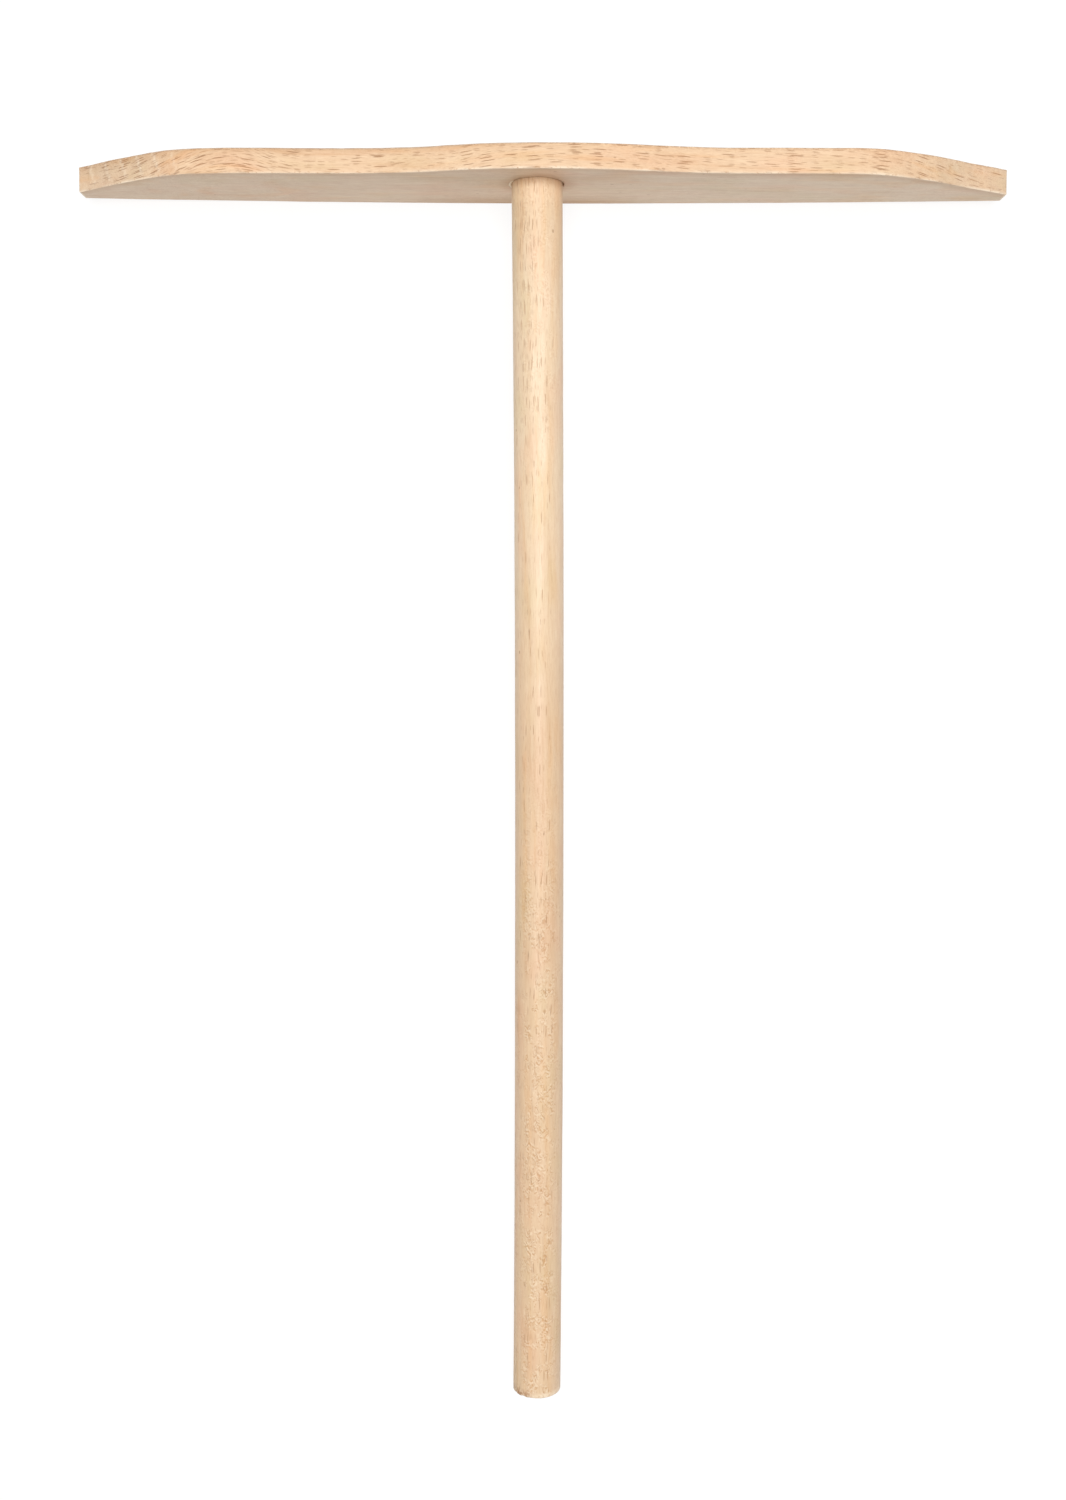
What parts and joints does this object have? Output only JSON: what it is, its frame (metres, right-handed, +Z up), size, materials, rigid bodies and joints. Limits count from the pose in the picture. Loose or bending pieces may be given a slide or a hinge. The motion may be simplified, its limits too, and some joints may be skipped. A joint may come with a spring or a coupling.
{
  "type": "crepe batter spreader",
  "caption": "T-shaped wooden batter spreader for crepes: a thin flat blade with a crowned upper edge and a long, slightly bowed spreading edge, across the end of a round dowel handle.",
  "frame": {"origin": "bottom centre of the bounding box, with the spreader lying on a level top: it rests on the middle of the blade's spreading edge and on the handle's free end", "axes": "+Z up; +Y from the handle's free end towards the blade, the dowel rising 2.2 degrees on the way; +X along the blade, to the right seen from the handle's end"},
  "size_m": [0.186, 0.2506, 0.0258],
  "materials": {
    "beech_board": "planed and sanded, unvarnished beech, with short dark flecks along the edges",
    "beech_dowel": "sanded, unvarnished straight-grained beech dowel",
    "wood_glue": "hardened translucent wood glue"
  },
  "bodies": {
    "root": {"blade": "beech_board", "handle": "beech_dowel", "glue_sleeve": "wood_glue"}
  },
  "joints": []
}
